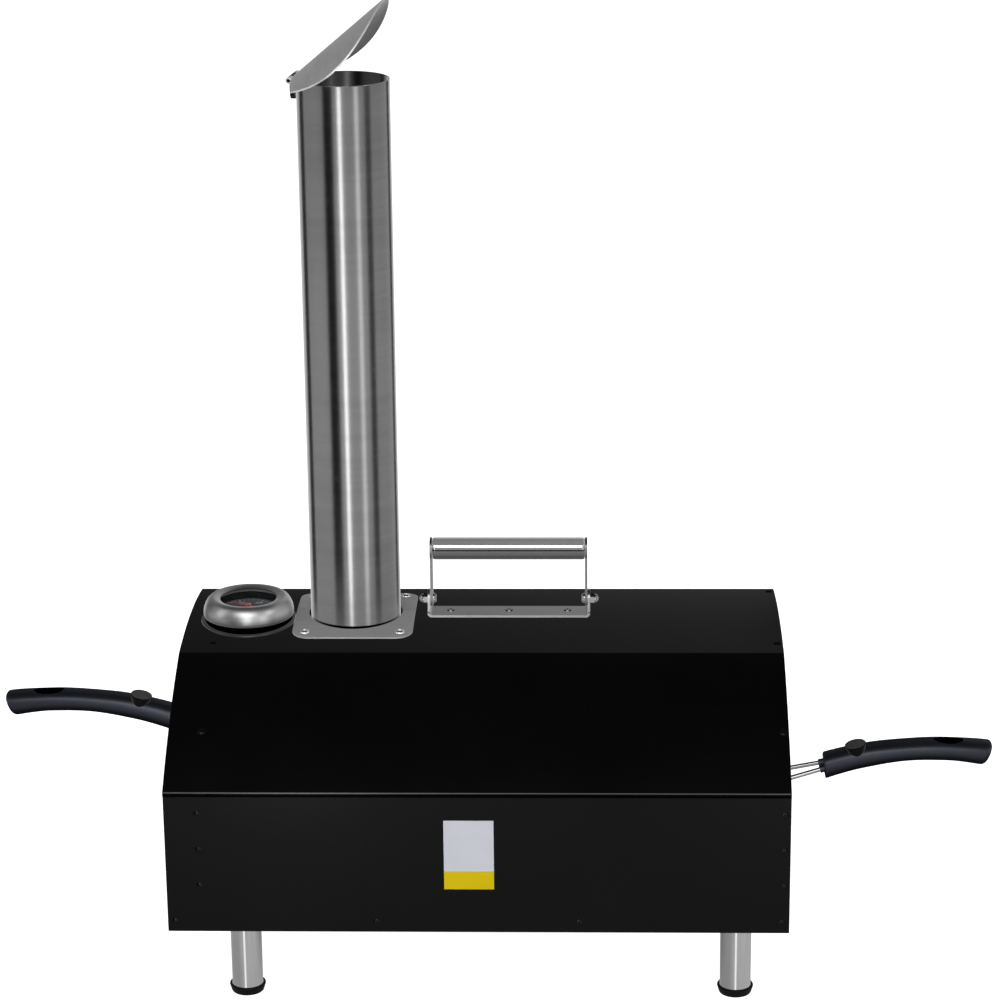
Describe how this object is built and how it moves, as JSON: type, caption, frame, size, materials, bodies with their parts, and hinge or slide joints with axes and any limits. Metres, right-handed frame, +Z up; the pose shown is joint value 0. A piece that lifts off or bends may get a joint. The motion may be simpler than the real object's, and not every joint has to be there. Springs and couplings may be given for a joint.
{
  "type": "tabletop pizza oven",
  "caption": "Portable outdoor pizza oven with an arched black body, tall flue and flap, dial thermometer, carry handle, lift-off door, fuel tray and folding legs.",
  "frame": {"origin": "on the ground, below the middle of the whole, feet at z 0", "axes": "+X from the door end to the fuel end, +Y from the front wall to the back wall, +Z up"},
  "size_m": [0.844, 0.4208, 0.7944],
  "materials": {
    "coat": "black powder coat, half gloss",
    "liner_steel": "plain sheet",
    "blanket": "ceramic fibre",
    "cordierite": "fired stone, rough",
    "iron": "dark",
    "flue_steel": "brushed",
    "rivet_steel": "satin",
    "flap_steel": "brushed",
    "black_bracket": "black",
    "pin_steel": "plain",
    "ring_steel": "satin",
    "case_black": "black",
    "bezel_steel": "polished",
    "dial_glass": "clear",
    "dial_face": "dark blue-grey",
    "needle_red": "red",
    "bracket_steel": "brushed",
    "carry_tube": "polished",
    "bolt_steel": "polished",
    "rod_steel": "bright",
    "grip_plastic": "charcoal, satin",
    "button_plastic": "charcoal, textured",
    "leg_steel": "brushed",
    "foot_rubber": "black",
    "screw_black": "black",
    "label_face": "blank two-tone plate"
  },
  "bodies": {
    "oven": {"roof_shell": "coat", "front_wall": "coat", "back_wall": "coat", "mouth_plate": "coat", "rear_plate": "coat", "base_pan": "coat", "inner_liner": "liner_steel", "insulation_blanket": "blanket", "cooking_floor": "liner_steel", "stone_channels": "liner_steel", "flame_baffle": "liner_steel", "tray_runners": "liner_steel", "door_ledge": "coat", "flue_base": "flue_steel", "flue_rivets": "rivet_steel", "gauge_ring": "ring_steel", "gauge_case": "case_black", "gauge_bezel": "bezel_steel", "gauge_glass": "dial_glass", "gauge_dial": "dial_face", "gauge_stem": "pin_steel", "gauge_nut": "pin_steel", "carry_bracket": "bracket_steel", "carry_screws": "bolt_steel", "leg_brackets": "liner_steel", "leg_pins": "pin_steel", "case_screws": "screw_black", "label_plate": "label_face"},
    "stone": {"pizza_stone": "cordierite"},
    "tray": {"fuel_tray": "liner_steel", "tray_face": "coat", "tray_shank": "rod_steel", "tray_grip": "grip_plastic"},
    "grate": {"fuel_grate": "iron"},
    "tray_thumb": {"tray_button": "button_plastic"},
    "door": {"door_panel": "coat", "door_plug": "liner_steel", "door_board": "blanket", "door_shank": "rod_steel", "door_grip": "grip_plastic"},
    "door_thumb": {"door_button": "button_plastic"},
    "flue": {"flue_tube": "flue_steel", "flap_bracket": "black_bracket", "flap_pin": "pin_steel"},
    "flap": {"flue_flap": "flap_steel"},
    "needle": {"gauge_needle": "needle_red"},
    "carry": {"carry_arm_left": "bracket_steel", "carry_arm_right": "bracket_steel", "carry_grip": "carry_tube", "carry_bolts": "bolt_steel", "carry_nuts": "bolt_steel"},
    "leg_fl": {"leg_front_left": "leg_steel", "foot_front_left": "foot_rubber"},
    "leg_fr": {"leg_front_right": "leg_steel", "foot_front_right": "foot_rubber"},
    "leg_bl": {"leg_back_left": "leg_steel", "foot_back_left": "foot_rubber"},
    "leg_br": {"leg_back_right": "leg_steel", "foot_back_right": "foot_rubber"}
  },
  "joints": [
    {"name": "door_pull", "type": "slide", "parent": "oven", "child": "door", "axis": [-1, 0, 0], "range_m": [0, 0.15]},
    {"name": "door_thumb_press", "type": "slide", "parent": "door", "child": "door_thumb", "axis": [-0.224, 0, -0.9746], "range_m": [0, 0.0025], "stiffness_N_per_m": 300, "springref_m": -0.002},
    {"name": "tray_pull", "type": "slide", "parent": "oven", "child": "tray", "axis": [1, 0, 0], "range_m": [0, 0.125]},
    {"name": "tray_thumb_press", "type": "slide", "parent": "tray", "child": "tray_thumb", "axis": [0.224, 0, -0.9746], "range_m": [0, 0.0025], "stiffness_N_per_m": 300, "springref_m": -0.002},
    {"name": "grate_lift", "type": "slide", "parent": "tray", "child": "grate", "axis": [0, 0, 1], "range_m": [0, 0.025]},
    {"name": "stone_lift", "type": "slide", "parent": "oven", "child": "stone", "axis": [0, 0, 1], "range_m": [0, 0.01]},
    {"name": "flue_lift", "type": "slide", "parent": "oven", "child": "flue", "axis": [0, 0, 1], "range_m": [0, 0.06]},
    {"name": "flap_tilt", "type": "hinge", "parent": "flue", "child": "flap", "pos_m": [-0.16054, 0.00501, 0.729], "axis": [-0.1219, -0.9925, 0], "range_deg": [-22, 50]},
    {"name": "needle_turn", "type": "hinge", "parent": "oven", "child": "needle", "pos_m": [-0.20955, -0.014, 0.289], "axis": [0, 0, 1], "range_deg": [-250, 0], "stiffness_Nm_per_rad": 0.0001},
    {"name": "carry_fold", "type": "hinge", "parent": "oven", "child": "carry", "pos_m": [0.01045, 0, 0.2849], "axis": [1, 0, 0], "range_deg": [-90, 90]},
    {"name": "leg_fold_fl", "type": "hinge", "parent": "oven", "child": "leg_fl", "pos_m": [-0.20355, -0.165, 0.0805], "axis": [0, -1, 0], "range_deg": [0, 90]},
    {"name": "leg_fold_fr", "type": "hinge", "parent": "oven", "child": "leg_fr", "pos_m": [0.19825, -0.165, 0.0805], "axis": [0, 1, 0], "range_deg": [0, 90]},
    {"name": "leg_fold_bl", "type": "hinge", "parent": "oven", "child": "leg_bl", "pos_m": [-0.20355, 0.165, 0.0805], "axis": [0, -1, 0], "range_deg": [0, 90]},
    {"name": "leg_fold_br", "type": "hinge", "parent": "oven", "child": "leg_br", "pos_m": [0.19825, 0.165, 0.0805], "axis": [0, 1, 0], "range_deg": [0, 90]}
  ]
}
